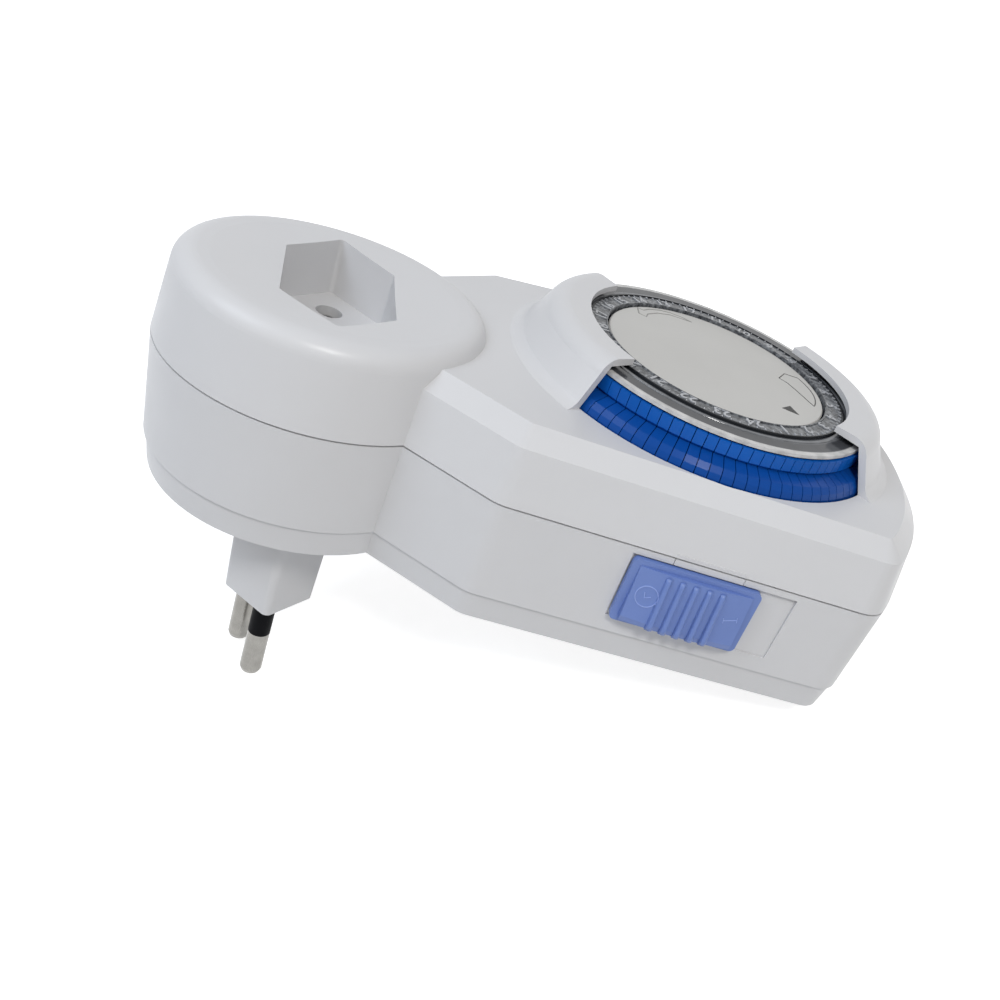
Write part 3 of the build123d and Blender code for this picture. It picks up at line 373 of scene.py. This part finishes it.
# ---------------------------------------------------------------- camera at the photograph's angle
CAMERA_PLACE = Vector((-11.616, -169.441, 125.780)) * MM
YAW, PITCH, ROLL = 0.4475, 0.5284, 0.4379
PHOTO_SIDE = 1000
FOCAL_PIXELS = 1049.0
CENTRE_PIXEL = (635.7, 563.84)

forward = Vector((
    math.cos(PITCH) * math.sin(YAW), math.cos(PITCH) * math.cos(YAW), -math.sin(PITCH),
))
level = Vector((math.cos(YAW), -math.sin(YAW), 0.0))
upright = level.cross(forward)
right = level * math.cos(ROLL) + upright * math.sin(ROLL)
up = upright * math.cos(ROLL) - level * math.sin(ROLL)

camera_data = bpy.data.cameras.new("camera")
camera_data.sensor_width = 36.0
camera_data.lens = FOCAL_PIXELS / PHOTO_SIDE * camera_data.sensor_width
camera_data.shift_x = (PHOTO_SIDE / 2 - CENTRE_PIXEL[0]) / PHOTO_SIDE
camera_data.shift_y = (CENTRE_PIXEL[1] - PHOTO_SIDE / 2) / PHOTO_SIDE
camera_data.clip_start = 5 * MM
camera = bpy.data.objects.new("camera", camera_data)
scene.collection.objects.link(camera)
camera.matrix_world = Matrix((
    (right.x, up.x, -forward.x, CAMERA_PLACE.x),
    (right.y, up.y, -forward.y, CAMERA_PLACE.y),
    (right.z, up.z, -forward.z, CAMERA_PLACE.z),
    (0, 0, 0, 1),
))
scene.camera = camera

# ---------------------------------------------------------------- stage
# the part leans on its pins and on one edge of its back, so the floor is tilted under it
FLOOR_REACH = 4.0
PIN_GAP = 0.1 * MM
EDGE_INSET = 1.7 * MM
EDGE_HEIGHT = 20.6 * MM

floor_left = Vector((0.0, 0.0, PIN_TIP - PIN_GAP))
floor_right = Vector((BODY_HIGH.x - EDGE_INSET, 0.0, BODY_LOW.z + EDGE_HEIGHT))
along = (floor_right - floor_left).normalized() * FLOOR_REACH
across = Vector((0, 1, 0)) * FLOOR_REACH
builder = bmesh.new()
corners = [
    builder.verts.new(floor_left + along * side_x + across * side_y)
    for side_x, side_y in ((-1, -1), (1, -1), (1, 1), (-1, 1))
]
builder.faces.new(corners)
floor_mesh = bpy.data.meshes.new("floor")
builder.to_mesh(floor_mesh)
builder.free()
floor = bpy.data.objects.new("floor", floor_mesh)
scene.collection.objects.link(floor)
floor.data.materials.append(pale_floor("pale_floor"))

# ---------------------------------------------------------------- world and lamps
FILL_COLOR = (0.975, 0.98, 1.0, 1.0)
FILL_STRENGTH = 0.39
WHITE = (1.0, 1.0, 1.0, 1.0)

world = bpy.data.worlds.new("studio")
scene.world = world
n = Nodes(world, "ShaderNodeOutputWorld")
fill = n.new("ShaderNodeBackground", Color=FILL_COLOR, Strength=FILL_STRENGTH)
white = n.new("ShaderNodeBackground", Color=WHITE, Strength=1.0)
n.surface(n.mix_shader(n.seen_directly(), fill.outputs[0], white.outputs[0]))

LAMP_TARGET = Vector((0.045, 0.0, 0.04))
KEY_DISTANCE = 0.9
# name, place from the target and side in metres, watts, colour
LAMPS = (
    ("key", Vector((-0.058, -0.667, 0.743)) * KEY_DISTANCE, 0.16, 3.3, (1.0, 0.985, 0.955)),
    ("side", Vector((-0.60, -0.14, 0.50)), 0.40, 2.4, (0.80, 0.88, 1.0)),
)
for name, offset, side, watts, color in LAMPS:
    data = bpy.data.lights.new(name, "AREA")
    data.shape = "SQUARE"
    data.size = side
    data.energy = watts
    data.color = color
    lamp = bpy.data.objects.new(name, data)
    lamp.location = LAMP_TARGET + offset
    lamp.rotation_euler = (-offset).to_track_quat("-Z", "Y").to_euler()
    scene.collection.objects.link(lamp)

scene.view_settings.view_transform = "Standard"

# ---------------------------------------------------------------- laying raised marks on the part
WALL_ALONG = Vector((math.cos(SIDE_ANGLE), -math.sin(SIDE_ANGLE), 0.0))
WALL_OUT = Vector((-math.sin(SIDE_ANGLE), -math.cos(SIDE_ANGLE), 0.0))
PROBE_START = 20 * MM
RING_STEP = 0.3
knob_mesh = nodes["mode_slider"].data
knob_tree = BVHTree.FromPolygons(
    [vertex.co.copy() for vertex in knob_mesh.vertices],
    [tuple(face.vertices) for face in knob_mesh.polygons],
)


def polar(radius, degrees):
    """Point of the dial's plan, in millimetres from its centre."""
    angle = math.radians(degrees)
    return Vector((radius * math.cos(angle), radius * math.sin(angle)))


def on_disc(point, height):
    """Plan point of the dial, in millimetres, at a height over the disc."""
    return Vector((DIAL_X + point.x * MM, point.y * MM, DISC_TOP + height * MM))


def on_ring(point, height):
    """Plan point of the dial, in millimetres, at a height over the ring's inner band."""
    return Vector((DIAL_X + point.x * MM, point.y * MM, RING_TOP + height * MM))


def on_outer_ring(point, height):
    """Plan point of the dial, in millimetres, at a height over the ring's lower outer band."""
    return on_ring(point, height - RING_STEP)


def on_knob(point, height):
    """Point along the wall and up, in millimetres, at a height over the face of the knob."""
    start = SHOULDER + WALL_ALONG * (point.x * MM) + Vector((0.0, 0.0, point.y * MM))
    hit = knob_tree.ray_cast(start + WALL_OUT * PROBE_START, -WALL_OUT)[0]
    return hit + WALL_OUT * (height * MM)


# rows of a stroke's profile: share of the width, fixed height in millimetres, share of the rise
FLAT_TOP = ((0.5, -0.03, 0.0), (0.35, 0.0, 1.0), (-0.35, 0.0, 1.0), (-0.5, -0.03, 0.0))
ROUND_TOP = (
    (0.5, -0.05, 0.0), (0.42, 0.0, 0.45), (0.22, 0.0, 0.88), (0.0, 0.0, 1.0),
    (-0.22, 0.0, 0.88), (-0.42, 0.0, 0.45), (-0.5, -0.05, 0.0),
)
PLATE_SINK = 0.02


def add_stroke(bm, points, width, lay, rise, closed=False, profile=FLAT_TOP):
    """Raised line of even width through plan points, laid on a surface."""
    count = len(points)
    rows = []
    for i, point in enumerate(points):
        before = points[i - 1] if closed or i > 0 else point
        after = points[(i + 1) % count] if closed or i < count - 1 else point
        direction = (after - before).normalized()
        sideways = Vector((-direction.y, direction.x)) * width
        rows.append([
            bm.verts.new(lay(point + sideways * share, base + rise * part))
            for share, base, part in profile
        ])
    for i in range(count if closed else count - 1):
        here, there = rows[i], rows[(i + 1) % count]
        for j in range(len(profile)):
            k = (j + 1) % len(profile)
            bm.faces.new((here[j], here[k], there[k], there[j]))
    if not closed:
        bm.faces.new(rows[0])
        bm.faces.new(list(reversed(rows[-1])))


def add_plate(bm, outline, lay, rise):
    """Thin raised plate over a closed outline."""
    low = [bm.verts.new(lay(point, -PLATE_SINK)) for point in outline]
    high = [bm.verts.new(lay(point, rise)) for point in outline]
    bm.faces.new(high)
    bm.faces.new(list(reversed(low)))
    for i in range(len(outline)):
        j = (i + 1) % len(outline)
        bm.faces.new((low[i], low[j], high[j], high[i]))


def finish_piece(name, bm, body, material):
    """Turn a bmesh into a piece that rides a body."""
    bmesh.ops.recalc_face_normals(bm, faces=bm.faces)
    mesh = bpy.data.meshes.new(name)
    bm.to_mesh(mesh)
    bm.free()
    piece = bpy.data.objects.new(name, mesh)
    scene.collection.objects.link(piece)
    piece.data.materials.append(material)
    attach(piece, body)
    return piece


# ---------------------------------------------------------------- printed arrows on the disc
PRINT_RISE = 0.04
TURNING_ARROW_WIDTH = 0.26
LONG_ARROW_WIDTH = 0.34
BOW_STEPS = 12
turning_arrow = [
    polar(19.6 + 0.5 * math.sin(math.pi * i / BOW_STEPS), -23 + 33 * i / BOW_STEPS)
    for i in range(BOW_STEPS + 1)
]
turning_arrow += [
    polar(19.4, 13.0), polar(16.6, 16.0), polar(13.8, 6.5), polar(15.1, 0.8), polar(16.4, -8.5),
]
pointer = [polar(15.6, -53.4), polar(15.8, -42.2), polar(18.5, -47.4)]
long_arrow = [
    polar(17.8, 92), polar(19.1, 98), polar(20.0, 104.5), polar(20.4, 111), polar(20.3, 119),
    polar(19.9, 125), polar(20.9, 127), polar(18.9, 133), polar(17.5, 131), polar(18.4, 126),
    polar(18.9, 116), polar(18.9, 106),
]
marks = bmesh.new()
add_stroke(marks, turning_arrow, TURNING_ARROW_WIDTH, on_disc, PRINT_RISE, closed=True)
add_plate(marks, pointer, on_disc, PRINT_RISE)
finish_piece("disc_marks", marks, "housing", INK_DARK)
far_mark = bmesh.new()
add_stroke(far_mark, long_arrow, LONG_ARROW_WIDTH, on_disc, PRINT_RISE, closed=True)
finish_piece("disc_far_mark", far_mark, "housing", INK_GREY)

# -------------------------------------------------------------- digits, ticks and beads of the ring
HOURS = 24
HOUR_STEP = 360 / HOURS
QUARTERS = 4
DAY_START = -90
NUMERAL_RADIUS = 22.9
NUMERAL_SIZE = 3.3 * MM
NUMERAL_DEPTH = 0.09 * MM
NUMERAL_WEIGHT = 0.05 * MM
NUMERAL_LIFT = 0.07
TICK_FROM, TICK_TO = 24.3, 24.9
TICK_WIDTH, TICK_RISE = 0.22, 0.16

numerals = bmesh.new()
for hour in range(1, HOURS + 1):
    text = bpy.data.curves.new("numeral", "FONT")
    text.body = str(hour)
    text.size = NUMERAL_SIZE
    text.extrude = NUMERAL_DEPTH
    text.offset = NUMERAL_WEIGHT
    text.align_x = "CENTER"
    text.align_y = "CENTER"
    text.resolution_u = 3
    carrier = bpy.data.objects.new("numeral", text)
    outline = bpy.data.meshes.new_from_object(carrier)
    spot = on_ring(polar(NUMERAL_RADIUS, DAY_START + hour * HOUR_STEP), NUMERAL_LIFT)
    turn = Matrix.Rotation(math.radians(180 + hour * HOUR_STEP), 4, "Z")
    outline.transform(Matrix.Translation(spot) @ turn)
    numerals.from_mesh(outline)
    bpy.data.objects.remove(carrier)
    bpy.data.curves.remove(text)
    bpy.data.meshes.remove(outline)
for quarter in range(HOURS * QUARTERS):
    angle = DAY_START + quarter * HOUR_STEP / QUARTERS
    tick = [polar(TICK_FROM, angle), polar(TICK_TO, angle)]
    add_stroke(numerals, tick, TICK_WIDTH, on_ring, TICK_RISE)
finish_piece("ring_numerals", numerals, "dial", NUMERAL)

BEAD_STEP = 2
# radius, width, surface, rise
BEADS = (
    (21.95, 0.3, on_ring, 0.20), (25.2, 0.25, on_ring, 0.20), (26.4, 0.7, on_outer_ring, 0.13),
)
beads = bmesh.new()
for radius, width, surface, rise in BEADS:
    circle = [polar(radius, degrees) for degrees in range(0, 360, BEAD_STEP)]
    add_stroke(beads, circle, width, surface, rise, closed=True)
finish_piece("ring_beads", beads, "dial", CLEAR)

# ---------------------------------------------------------------- clock face and "I" on the knob
SYMBOL_RISE = 0.09
OUTLINE_WIDTH = 0.20
HAND_WIDTH = 0.18
CLOCK_CENTRE = Vector((27.5, 36.45))
CLOCK_RADIUS = 1.9
CLOCK_STEP = 9

clock_face = [
    CLOCK_CENTRE + CLOCK_RADIUS * Vector((math.cos(math.radians(a)), math.sin(math.radians(a))))
    for a in range(0, 360, CLOCK_STEP)
]
hands = [Vector((26.95, 37.15)), Vector((27.2, 36.15)), Vector((28.2, 36.6))]
stem = [Vector((41.3, 36.15)), Vector((43.6, 36.7))]
serif = Vector((-0.13, 0.5))
symbols = bmesh.new()
add_stroke(symbols, clock_face, OUTLINE_WIDTH, on_knob, SYMBOL_RISE, closed=True)
add_stroke(symbols, hands, HAND_WIDTH, on_knob, SYMBOL_RISE)
add_stroke(symbols, stem, OUTLINE_WIDTH, on_knob, SYMBOL_RISE)
for end in stem:
    add_stroke(symbols, [end - serif, end + serif], HAND_WIDTH, on_knob, SYMBOL_RISE)
finish_piece("knob_symbols", symbols, "mode_slider", ICON)

# ---------------------------------------------------------------- crests on the knob's finger ribs
KNOB_MIDDLE = 34.7
RIB_PITCH = 2.4
RIB_BOTTOM = 30.9
RIB_POINTS = 14
RIB_POINT_STEP = 0.76
CREST_WIDTH, CREST_RISE = 1.1, 0.42
crests = bmesh.new()
for rib in range(-2, 3):
    rib_at = KNOB_MIDDLE + RIB_PITCH * rib
    line = [Vector((rib_at, RIB_BOTTOM + RIB_POINT_STEP * i)) for i in range(RIB_POINTS)]
    add_stroke(crests, line, CREST_WIDTH, on_knob, CREST_RISE, profile=ROUND_TOP)
crest_piece = finish_piece("knob_crests", crests, "mode_slider", KNOB)
for face in crest_piece.data.polygons:
    face.use_smooth = True
